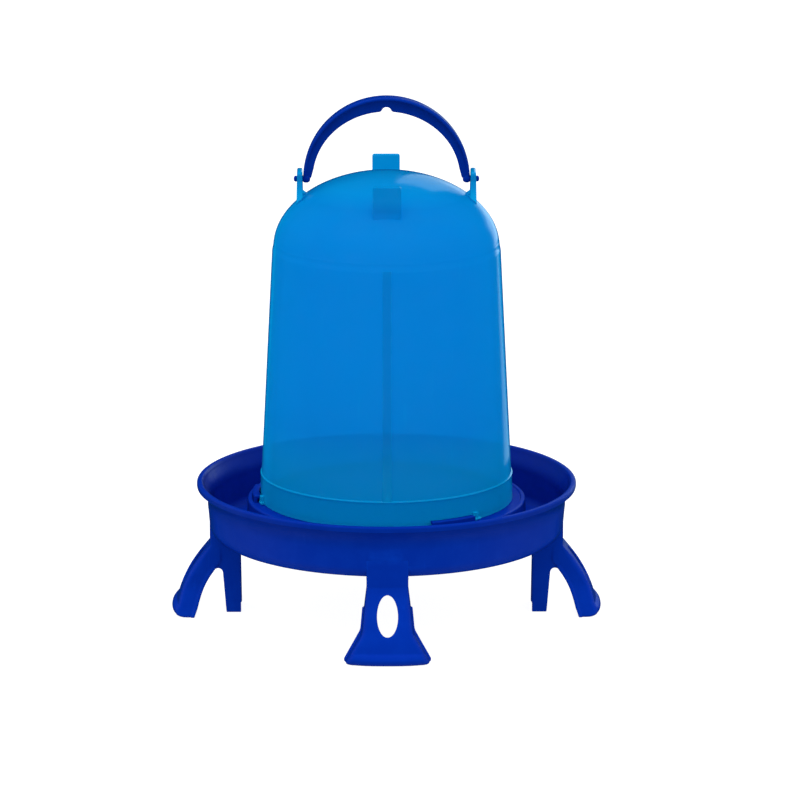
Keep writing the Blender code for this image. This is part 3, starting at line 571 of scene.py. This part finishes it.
outline = [p for p in dome(DOME_R, DOME_H, SHOULDER_Z, 64)[::-1] if p[1] > SHOULDER_Z + 0.0042]
for step in range(13):  # the dome runs out over the cone in one soft ledge
    u = step / 12
    z = SHOULDER_Z + 0.0040 - 0.0080 * u
    outline.append((DOME_R - 0.0001 + (cone_r(z) - DOME_R + 0.0001) * u * u * (3 - 2 * u), z))
for step in range(1, 25):
    z = SHOULDER_Z - 0.0040 + (BAND_Z + 0.0012 - SHOULDER_Z + 0.0040) * step / 24
    outline.append((cone_r(z), z))
# the fine ridge on top of the wider bottom band
outline += arc(DRUM_R_LOW + 0.0002, BAND_Z, 0.0008, 62.0, -50.0, 7, ry=0.0008)
outline += [(DRUM_R_LOW + 0.0005, BAND_Z - 0.0016), (DRUM_R_RIM - 0.0002, DRUM_Z0 + 0.0060)]
outline += arc(DRUM_R_RIM - 0.0006, DRUM_Z0 + 0.0006, 0.0006, 0.0, -90.0, 4)
outline += arc(DRUM_R_RIM - DRUM_T + 0.0006, DRUM_Z0 + 0.0006, 0.0006, 270.0, 180.0, 4)
outline += [(DRUM_R_LOW - DRUM_T, BAND_Z)]
outline += dome(DOME_R - DRUM_T, DOME_H - DRUM_T, SHOULDER_Z, 40)
drum = lathe("drum_shell", outline, SEGS)
mid_outline = dome(DOME_R - DRUM_T / 2, DOME_H - DRUM_T / 2, SHOULDER_Z, 40)[::-1] + [(0.0, SHOULDER_Z)]

adds = []
lug_lo = DRUM_Z0 + 0.2465
corner = 0.0018
lug_side = [(-LUG_HALF, lug_lo), (LUG_HALF, lug_lo)] + arc(LUG_HALF - corner, LUG_TOP - corner, corner, 0.0, 90.0, 6)
lug_side += arc(-LUG_HALF + corner, LUG_TOP - corner, corner, 90.0, 180.0, 6)
for k, tag in enumerate(("front", "right", "back", "left")):
    # outline XY stands up in XZ, and its thickness runs back along +Y
    lug = prism(f"lug_{tag}", lug_side, LUG_R[0], LUG_R[1], upright)
    for v in lug.data.vertices:  # a little draft: the plate is thicker at its foot
        deep = max((LUG_TOP - 0.004 - v.co.z) / 0.030, 0.0)
        v.co.y -= (0.0007 if v.co.y < -(LUG_R[0] + LUG_R[1]) / 2 else -0.0009) * deep
    lug.data.transform(quarter(k))
    adds.append(rounded(lug, 0.0013, 5, 50.0))
gusset = [(LUG_R[0] + 0.001, PIVOT_Z - 0.0095), (LUG_R[0] - 0.0004, PIVOT_Z - 0.0095), (LUG_R[0] - 0.0035, PIVOT_Z - 0.0118),
          (LUG_R[0] - 0.0075, PIVOT_Z - 0.0141), (LUG_R[0] - 0.0075, PIVOT_Z - 0.0224), (LUG_R[0] + 0.001, PIVOT_Z - 0.0224)]
for k in (1, 3):
    adds.append(rounded(prism(f"gusset_{k}", gusset, -0.0015, 0.0015, quarter(k) @ side_view), 0.0004, 2, 20.0))
for boss in adds:
    cut(boss, lathe("mid_wall", mid_outline, SEGS))

gauge = []
steps = 40
for k in range(steps + 1):
    z = GAUGE_Z[0] - 0.0002 + (GAUGE_Z[1] - GAUGE_Z[0]) * k / steps
    proud = GAUGE_PROUD * min(1.0, (steps - k) / 1.0 + 0.35)
    section = []
    for x, up in ((-GAUGE_W / 2, -0.0012), (-GAUGE_W / 2, 0.35), (-GAUGE_W / 2 + 0.0004, 1.0), (-GAUGE_W / 4, 1.0), (0.0, 1.0), (GAUGE_W / 4, 1.0),
                  (GAUGE_W / 2 - 0.0004, 1.0), (GAUGE_W / 2, 0.35), (GAUGE_W / 2, -0.0012)):
        r = cone_r(z) + (up * proud if up > 0 else up)
        section.append(Vector((x, -math.sqrt(r * r - x * x), z)))
    gauge.append(section)
adds.append(loft("gauge", gauge))

tab = [(DRUM_R_RIM - 0.0015, TAB_Z[0]), (TAB_R - 0.0005, TAB_Z[0]), (TAB_R, TAB_Z[0] + 0.0005), (TAB_R, TAB_Z[1] - 0.0008),
       (TAB_R - 0.0006, TAB_Z[1]), (DRUM_R_RIM - 0.0015, TAB_Z[1])]
rib = [(DRUM_R_RIM - 0.0017, TAB_Z[0] + 0.0004), (TAB_R - 0.0006, TAB_Z[0] + 0.0004), (TAB_R - 0.0006, TAB_RIB_Z), (DRUM_R_RIM - 0.0017, TAB_RIB_Z)]
for n, a in enumerate(HOOKS_AT):
    adds.append(rounded(sector(f"tab_{n}", a + TAB_FROM, a + TAB_TO, tab, 10), 0.0003, 2, 60.0))
    adds.append(rounded(sector(f"rib_{n}", a + TAB_FROM + 0.15, a + TAB_FROM + TAB_RIB, rib, 4), 0.0006, 3, 60.0))
union(drum, *adds)
notch = [(-OUTLET_HALF, DRUM_Z0 - 0.01), (OUTLET_HALF, DRUM_Z0 - 0.01)]
notch += arc(OUTLET_HALF - 0.002, OUTLET_TOP - 0.002, 0.002, 0.0, 90.0, 5) + arc(-OUTLET_HALF + 0.002, OUTLET_TOP - 0.002, 0.002, 90.0, 180.0, 5)
cut(drum, prism("outlet", notch, -0.120, -0.095, Matrix(((1, 0, 0, 0), (0, 0, -1, 0), (0, 1, 0, 0), (0, 0, 0, 1)))),
    rod("bore_right", [(0.066, BORE_R), (0.082, BORE_R)], PIVOT_Z), rod("bore_left", [(-0.066, BORE_R), (-0.082, BORE_R)], PIVOT_Z))
moulded(drum, "drum_moulding", "drum", ["drum"], drum_plastic, 32.0)


# ------------------------------------------------------------------ handle
def inner_edge(t):
    plain = 1.0 / math.hypot(math.cos(t) / ARCH_IN[0], math.sin(t) / ARCH_IN[1])
    x = abs(plain * math.cos(t))
    if x >= NOTCH_HALF or math.sin(t) < 0.5:
        return plain
    lead = NOTCH_HALF - 0.0020
    if x >= lead:
        return plain + 0.0012 * (NOTCH_HALF - x) / 0.0020
    return plain + 0.0012 + 0.0027 * math.sqrt(max(1.0 - (x / lead) ** 2, 0.0))


sections = []
count = 300
for k in range(count + 1):
    a = 1.0 + 178.0 * k / count
    t = math.radians(a)
    ease = min(min(a, 180.0 - a) / 48.0, 1.0)
    w = FLANGE_END_HALF + (FLANGE_HALF - 0.0001 - FLANGE_END_HALF) * ease * ease * (3 - 2 * ease)
    r_in, r_web, half_web = inner_edge(t), ARCH_R - FLANGE_T, WEB_T / 2
    r_in += 0.0016 * max(1.0 - min(a, 180.0 - a) / 9.0, 0.0) ** 1.5  # the ends are slimmer
    across = [(r_in, 0.0, 0), (r_in, -half_web + 0.0006, 1), (r_in + 0.0006, -half_web, 1), (r_web, -half_web - 0.0003, 1),
              (r_web, -w + 0.0006, 1), (r_web + 0.0007, -w, 1), (ARCH_R - 0.0012, -w, 1), (ARCH_R - 0.0004, -w + 0.0008, 1),
              (ARCH_R, -w + 0.0018, 1), (ARCH_R, 0.0, 0), (ARCH_R, w - 0.0018, 1), (ARCH_R - 0.0004, w - 0.0008, 1),
              (ARCH_R - 0.0012, w, 1), (r_web + 0.0007, w, 1), (r_web, w - 0.0006, 1), (r_web, half_web + 0.0003, 1),
              (r_in + 0.0006, half_web, 1), (r_in, half_web - 0.0006, 1)]
    sections.append([Vector((r * math.cos(t), y, PIVOT_Z + r * math.sin(t))) for r, y, _ in across])
handle = loft("handle_arch", sections)
knobs = []
for s, tag in ((1, "right"), (-1, "left")):
    barrel = [(-0.0060, 0.0014), (-0.0056, 0.0022), (-0.0049, 0.0029), (-0.0040, 0.0033), (-0.0030, 0.0034), (-0.0015, 0.0034),
              (-0.0007, 0.0031), (-0.0001, 0.0025), (0.0002, 0.0018)]
    knobs.append(rod(f"knuckle_{tag}", [(s * (ARCH_R + x), r) for x, r in barrel], PIVOT_Z))
    knobs.append(rod(f"pin_{tag}", [(s * (ARCH_R - 0.004), PIN_R), (s * (LUG_R[1] + 0.0003), PIN_R), (s * (LUG_R[1] + 0.0009), PIN_R + 0.0005),
                                    (s * (PIN_END - 0.0011), PIN_R + 0.0003), (s * (PIN_END - 0.0003), PIN_R - 0.0004), (s * PIN_END, PIN_R - 0.0011)], PIVOT_Z))
union(handle, *knobs)
soften(handle, 0.00045, 6, 0.5)
moulded(handle, "handle_moulding", "handle", ["handle"], handle_plastic, 0)


# ------------------------------------------------------------------ legs
KINK_Z = 0.0576  # where the shin leaves the wall


def leg_half(z):
    """Half the width of the leg's front shell at height z."""
    if z >= KINK_Z:
        return NECK_HALF
    if z >= STEP_Z:
        return NECK_HALF + (STEP_HALF - STEP_OUT - NECK_HALF) * (KINK_Z - z) / (KINK_Z - STEP_Z)
    return flange_half(z) - STEP_OUT


def flange_half(z):
    """Half the width of the flange behind it, below the step."""
    if z >= SPLAY_Z + 0.002:
        return STEP_HALF + (SPLAY_HALF - STEP_HALF) * (STEP_Z - z) / (STEP_Z - SPLAY_Z)
    if z > SPLAY_Z - 0.003:  # a small curve into the splay
        u = (SPLAY_Z + 0.002 - z) / 0.005
        start = STEP_HALF + (SPLAY_HALF - STEP_HALF) * (STEP_Z - SPLAY_Z - 0.002) / (STEP_Z - SPLAY_Z)
        return start + (SPLAY_HALF + SPLAY * 0.003 - start) * u ** 1.7
    low = max(1.0 - z / 0.0030, 0.0)
    return SPLAY_HALF + SPLAY * (SPLAY_Z - z) - 0.0022 * low * low


def front_xy(radius, half_span, n, back=0.0):
    out = []
    for k in range(n + 1):
        t = -half_span + 2 * half_span * k / n
        out.append((t, -math.sqrt(radius * radius - t * t) + back * abs(t / half_span) ** 5))
    return out


def wall_r(z):
    """The tray's outer wall, which the leg's collar continues."""
    return WALL_R_LOW + (WALL_R_TOP - WALL_R_LOW) * min(max((z - TRAY_UNDER - CORNER) / (FLARE_Z0 - TRAY_UNDER - CORNER), 0.0), 1.0)


shin = bezier((LEG_OUT_R, KINK_Z), (0.1700, 0.0367), (FOOT_R, FOOT_Z), 7)
toe = [(0.1781, 0.0097), (0.1806, 0.0077), (TOE_R, 0.0048), (TOE_R - 0.0009, 0.0017), (TOE_R - 0.0036, 0.0)]
calf = bezier((0.1450, 0.0385), (0.1577, 0.0222), (0.1612, 0.0), 6)
front_line = [(LEG_OUT_R, TRAY_UNDER - 0.0005), (LEG_OUT_R, KINK_Z + 0.0020), (LEG_OUT_R + 0.0002, KINK_Z + 0.0003)] + shin[1:] + toe
rear_line = [(0.1400, TRAY_UNDER - 0.0005), (0.1400, 0.0560), (0.1400, 0.0525), (0.1405, 0.0450)] + calf[:6]
rear_line += [(0.1604, 0.0057), (0.1610, 0.0042), (0.1616, 0.0026), (0.1621, 0.0010), (0.1623, 0.0)]
fine_front, fine_rear = fine_curve(front_line, 0), fine_curve(rear_line, 0)
OVER = 0.0030  # the collar is made oversize, softened, then trimmed crisp
fine_front = [Vector((wall_r(LEG_TOP + OVER) + 0.0012, LEG_TOP + OVER, 0)), Vector((wall_r(LEG_TOP) + 0.0012, LEG_TOP, 0)),
              Vector((LEG_OUT_R + 0.0012, TRAY_UNDER + CORNER, 0)), Vector((LEG_OUT_R + 0.0006, TRAY_UNDER + 0.0045, 0))] + fine_front
fine_rear = [Vector((0.1400, LEG_TOP + OVER, 0)), Vector((0.1400, LEG_TOP, 0)), Vector((0.1400, TRAY_UNDER + CORNER, 0)),
             Vector((0.1400, TRAY_UNDER + 0.0045, 0))] + fine_rear


def room_half(z):
    u = min(max((0.040 - z) / 0.012, 0.0), 1.0)
    return (NECK_HALF - LEG_WALL) * (1 - u) + (leg_half(z) - LEG_WALL) * u


sections, hollow, flange = [], [], []
for f, r in zip(fine_front, fine_rear):
    ro, zo, ri, zi = f.x, max(f.y, 0.0), r.x, max(r.y, 0.0)
    w, rear_w = leg_half(zo), leg_half(zi)
    if zo > TRAY_UNDER + 0.001:
        w = rear_w = NECK_HALF + 0.0012
    below = min(max((TRAY_UNDER - 0.004 - zo) / 0.016, 0.0), 1.0)
    on_toe = min(max((FOOT_Z - zo) / 0.006, 0.0), 1.0)
    rounding = 0.0006 + 0.0048 * below + 0.0012 * on_toe
    front_w = w - rounding
    if front_w > 0.0306:
        front_w = 0.0306
    back = 0.0012 * on_toe
    section = [(x, y, zo) for x, y in front_xy(ro, front_w, 16, back)]
    y0 = section[-1][1]
    side = max(min(w, rear_w), front_w + 0.0004)
    depth = 0.0006 + 0.0036 * below + 0.0022 * on_toe
    span_y = max(-y0 - ri, 0.004)
    depth = min(depth, span_y - 0.0020)
    for t in (15.0, 30.0, 45.0, 60.0, 75.0, 90.0):  # the rounded corner between the face and the side
        c, q = math.cos(math.radians(t)), math.sin(math.radians(t))
        section.append((front_w + (side - front_w) * q, y0 + depth * (1 - c), zo + (zi - zo) * (1 - c) * depth / span_y))
    right = section[17:]
    section += [(rear_w, -ri - 0.0008, zi + (zo - zi) * 0.05), (rear_w - 0.0006, -ri, zi)]
    section += [(-rear_w + 0.0006, -ri, zi), (-rear_w, -ri - 0.0008, zi + (zo - zi) * 0.05)]
    section += [(-x, y, z) for x, y, z in right[::-1]]
    sections.append([Vector(p) for p in section])
    if zi <= STEP_Z:  # the flange behind, which steps out and runs down to the foot
        dr, dz = ro - ri, zo - zi
        length = math.hypot(dr, dz)
        thick = min(0.0027, length - 0.002)
        rf, zf = ri + dr / length * thick, zi + dz / length * thick
        if zf <= STEP_Z:
            a_half, b_half = flange_half(zf), flange_half(zi)
            flange.append([Vector(p) for p in ((-b_half, -ri, zi), (b_half, -ri, zi), (a_half, -rf, zf), (-a_half, -rf, zf))])
    if FOOT_Z - 0.0002 <= zo <= LEG_TOP + 0.0001:
        dr, dz = ri - ro, zi - zo
        length = math.hypot(dr, dz)
        ro2, zo2 = ro + dr / length * LEG_PLATE, zo + dz / length * LEG_PLATE
        ri2, zi2 = ri + dr / length * 0.012, zi + dz / length * 0.012
        hw, hr = min(room_half(zo), 0.0270), min(room_half(zi), 0.0290)
        ring = [(x, y, zo2) for x, y in front_xy(ro2, hw, 8)]
        ring += [(hr, -ri2, max(zi2, 0.0040)), (-hr, -ri2, max(zi2, 0.0040))]
        hollow.append([Vector(p) for p in ring])
# level top of the step
top = flange[0]
flange.insert(0, [Vector((p.x, p.y + 0.0004, STEP_Z)) for p in top])
ring = [(x, y, FLOOR_T) for x, y in front_xy(TOE_R - 0.0063, 0.0265, 8)]
hollow.append([Vector(p) for p in ring + [(0.0290, -0.1475, FLOOR_T), (-0.0290, -0.1475, FLOOR_T)]])
leg = loft("leg_shell", sections)
union(leg, loft("leg_flange", flange))
cut(leg, loft("leg_room", hollow))

arch = arc(0.1425, 0.0346, 0.0039, 180.0, 60.0, 14)
wall_line = [(STRUT_IN_R + 0.0008, TRAY_UNDER + 0.002), (0.1473, TRAY_UNDER + 0.002), (0.1475, 0.0600), (0.1490, 0.0500), (0.1480, 0.0410)]
wall_line += arch[::-1] + [(0.1358, 0.0), (STRUT_IN_R, 0.0)]
adds = []
for s, tag in ((1, "right"), (-1, "left")):
    x0, x1 = sorted((s * (NECK_HALF - LEG_WALL), s * NECK_HALF))
    adds.append(prism(f"wall_{tag}", wall_line, x0, x1, side_view))
    x0, x1 = sorted((s * 0.0090, s * (NECK_HALF - 0.0006)))
    adds.append(block(f"return_{tag}", (x0, -STRUT_IN_R - 0.0028, 0.0), (x1, -STRUT_IN_R - 0.0006, TRAY_UNDER - 0.0005)))
adds.append(block("saddle", (-NECK_HALF + 0.0010, -0.1485, TRAY_UNDER - GAP - SADDLE_T),
                  (NECK_HALF - 0.0010, -STRUT_IN_R - 0.0009, TRAY_UNDER + 0.0015)))
union(leg, *adds)
cut(leg, prism("oval", arc(0, OVAL_Z, OVAL_HALF, 0.0, 360.0 * 71 / 72, 71, ry=OVAL_H), -0.030, 0.030,
               Matrix.Translation((0, -0.170, 0)) @ upright),
    block("slot", (-TONGUE_HALF - GAP, -TONGUE_R[1] - GAP, TRAY_UNDER - 0.0138), (TONGUE_HALF + GAP, -TONGUE_R[0] + GAP, 0.080)))
soften(leg, 0.00060, 4, 0.5)
trim = lathe("collar_trim", [(0.170, LEG_TOP + 0.010), (0.170, TRAY_UNDER - 0.0012), (LEG_OUT_R, TRAY_UNDER - 0.0012), (LEG_OUT_R, TRAY_UNDER + CORNER),
                             (wall_r(LEG_TOP + 0.010), LEG_TOP + 0.010)], SEGS)
cut(leg, trim, block("trim_top", (-0.05, -0.20, LEG_TOP), (0.05, -0.10, LEG_TOP + 0.02)),
    block("trim_right", (NECK_HALF, -0.20, TRAY_UNDER), (0.05, -0.10, LEG_TOP + 0.02)),
    block("trim_left", (-0.05, -0.20, TRAY_UNDER), (-NECK_HALF, -0.10, LEG_TOP + 0.02)))
# the room the tray takes is cut after the smoothing, so that the collar keeps its crisp edges
limit = POCKET_R + SEAM
under = [(0.0, LEG_TOP + 0.012), (limit, LEG_TOP + 0.012)]
corner_arc = arc(WALL_R_LOW - CORNER, TRAY_UNDER + CORNER, CORNER + SEAM, 0.0, -90.0, 14)
for (r0, z0), (r1, z1) in zip(corner_arc, corner_arc[1:]):
    if r0 > limit >= r1:
        under.append((limit, z0 + (z1 - z0) * (r0 - limit) / (r0 - r1)))
    if r1 <= limit:
        under.append((r1, z1))
under += [(0.0, TRAY_UNDER - SEAM)]
cut(leg, lathe("tray_room", under, SEGS))
m = leg.modifiers.new("weld", "WELD")
m.merge_threshold = 0.00002
bake(leg)
first = leg.data
for k, name in enumerate(("front", "right", "back", "left")):
    if k == 0:
        piece = leg
    else:
        mesh = first.copy()
        mesh.transform(quarter(k))
        piece = bpy.data.objects.new(f"leg_{name}_moulding", mesh)
        work.objects.link(piece)
    moulded(piece, f"leg_{name}_moulding", "base", [f"leg_{name}"], leg_plastic, 50.0)

for obj in list(work.objects):
    bpy.data.objects.remove(obj, do_unlink=True)
scene.collection.children.unlink(work)

# ------------------------------------------------------------------ floor, light and camera
bm = bmesh.new()
bmesh.ops.create_grid(bm, x_segments=2, y_segments=2, size=14.0)
mesh = bpy.data.meshes.new("floor")
bm.to_mesh(mesh)
bm.free()
floor = bpy.data.objects.new("floor", mesh)
floor.location.z = -0.0002
scene.collection.objects.link(floor)
mat = bpy.data.materials.new("pale_floor")
mat.use_nodes = True
tree = mat.node_tree
bsdf = tree.nodes["Principled BSDF"]
bsdf.inputs["Base Color"].default_value = (0.86, 0.87, 0.88, 1.0)
bsdf.inputs["Roughness"].default_value = 0.9
bsdf.inputs["Specular IOR Level"].default_value = 0.0
glow = tree.nodes.new("ShaderNodeEmission")
glow.inputs["Color"].default_value = (1.0, 1.0, 1.0, 1.0)
path = tree.nodes.new("ShaderNodeLightPath")
tree.links.new(ramp(tree, path.outputs["Is Camera Ray"], ((0.0, 1.0), (0.62, 1.32))), glow.inputs["Strength"])
blend = tree.nodes.new("ShaderNodeMixShader")
blend.inputs[0].default_value = 0.72
tree.links.new(bsdf.outputs[0], blend.inputs[1])
tree.links.new(glow.outputs[0], blend.inputs[2])
dim = tree.nodes.new("ShaderNodeEmission")  # what the glossy plastic mirrors
dim.inputs["Color"].default_value = (0.0, 0.10, 0.30, 1.0)
seen = tree.nodes.new("ShaderNodeMixShader")
tree.links.new(path.outputs["Is Glossy Ray"], seen.inputs[0])
tree.links.new(blend.outputs[0], seen.inputs[1])
tree.links.new(dim.outputs[0], seen.inputs[2])
tree.links.new(seen.outputs[0], tree.nodes["Material Output"].inputs["Surface"])
mat.cycles.emission_sampling = "NONE"
mesh.materials.append(mat)

world = bpy.data.worlds.new("studio")
scene.world = world
world.use_nodes = True
tree = world.node_tree
background = tree.nodes["Background"]
path = tree.nodes.new("ShaderNodeLightPath")
# white to the camera, softer as fill, and dim blue in reflections, as in a studio with flags in front of the object
colour = value_mix(tree, (1.0, 1.0, 1.0), (0.0, 0.10, 0.30), path.outputs["Is Glossy Ray"])
tree.links.new(colour, background.inputs["Color"])
level = ramp(tree, path.outputs["Is Camera Ray"], ((0.0, 1.0), (1.00, 1.0)))
level = value_mix(tree, level, (1.0, 1.0, 1.0), path.outputs["Is Glossy Ray"])
tree.links.new(level, background.inputs["Strength"])
world.cycles.sampling_method = "NONE"


def softbox(name, place, aim, size, power, tint=(1.0, 1.0, 1.0), glossy=True, diffuse=True):
    light = bpy.data.lights.new(name, "AREA")
    light.shape, light.size, light.size_y, light.energy, light.color = "RECTANGLE", size[0], size[1], power, tint
    obj = bpy.data.objects.new(name, light)
    obj.location = place
    obj.rotation_euler = (Vector(aim) - Vector(place)).to_track_quat("-Z", "Y").to_euler()
    obj.visible_camera = False
    obj.visible_glossy = glossy
    obj.visible_diffuse = diffuse
    scene.collection.objects.link(obj)
    return obj


def bearing(degrees, distance, height):
    """A place round the object: degrees from straight behind it towards its right."""
    t = math.radians(degrees)
    return (distance * math.sin(t), distance * math.cos(t), height)


softbox("panel_tall", bearing(12.0, 2.4, 1.00), (0.0, 0.0, 0.36), (0.62, 2.0), 4.0, (0.60, 0.84, 1.0))
softbox("panel_side", bearing(29.0, 2.4, 0.34), (0.0, 0.0, 0.30), (0.80, 0.70), 2.4, (0.70, 0.89, 1.0))
softbox("panel_soft", bearing(26.0, 2.6, 0.40), (0.0, 0.0, 0.30), (1.55, 1.05), 3.7, (0.52, 0.82, 1.0))
softbox("overhead", (-0.15, -0.45, 2.4), (0.0, 0.0, 0.20), (2.6, 2.2), 43.0, glossy=False)
# a lit strip of floor behind and to the right, which the drum's right edge mirrors
lane = softbox("floor_card", (DRUM_R_TOP + 1.2 * math.sin(math.radians(31.0)), 1.2 * math.cos(math.radians(31.0)), 0.012),
               (0.0, 0.0, 3.0), (0.20, 1.7), 1.0, (0.50, 0.82, 1.0), diffuse=False)
lane.rotation_euler = (math.pi, 0.0, math.radians(-31.0))

camera_data = bpy.data.cameras.new("camera")
camera_data.sensor_width = 36.0
camera_data.lens = 225.1
camera_data.shift_x = 0.0169
camera_data.clip_end = 60.0
camera = bpy.data.objects.new("camera", camera_data)
turn = math.radians(-0.30)
camera.location = (4.1 * math.sin(turn), -4.1 * math.cos(turn), 1.1716)
camera.rotation_euler = (math.radians(90.0 - 13.585), 0.0, turn)
scene.collection.objects.link(camera)
scene.camera = camera
scene.view_settings.view_transform = "Standard"
scene.view_settings.look = "None"
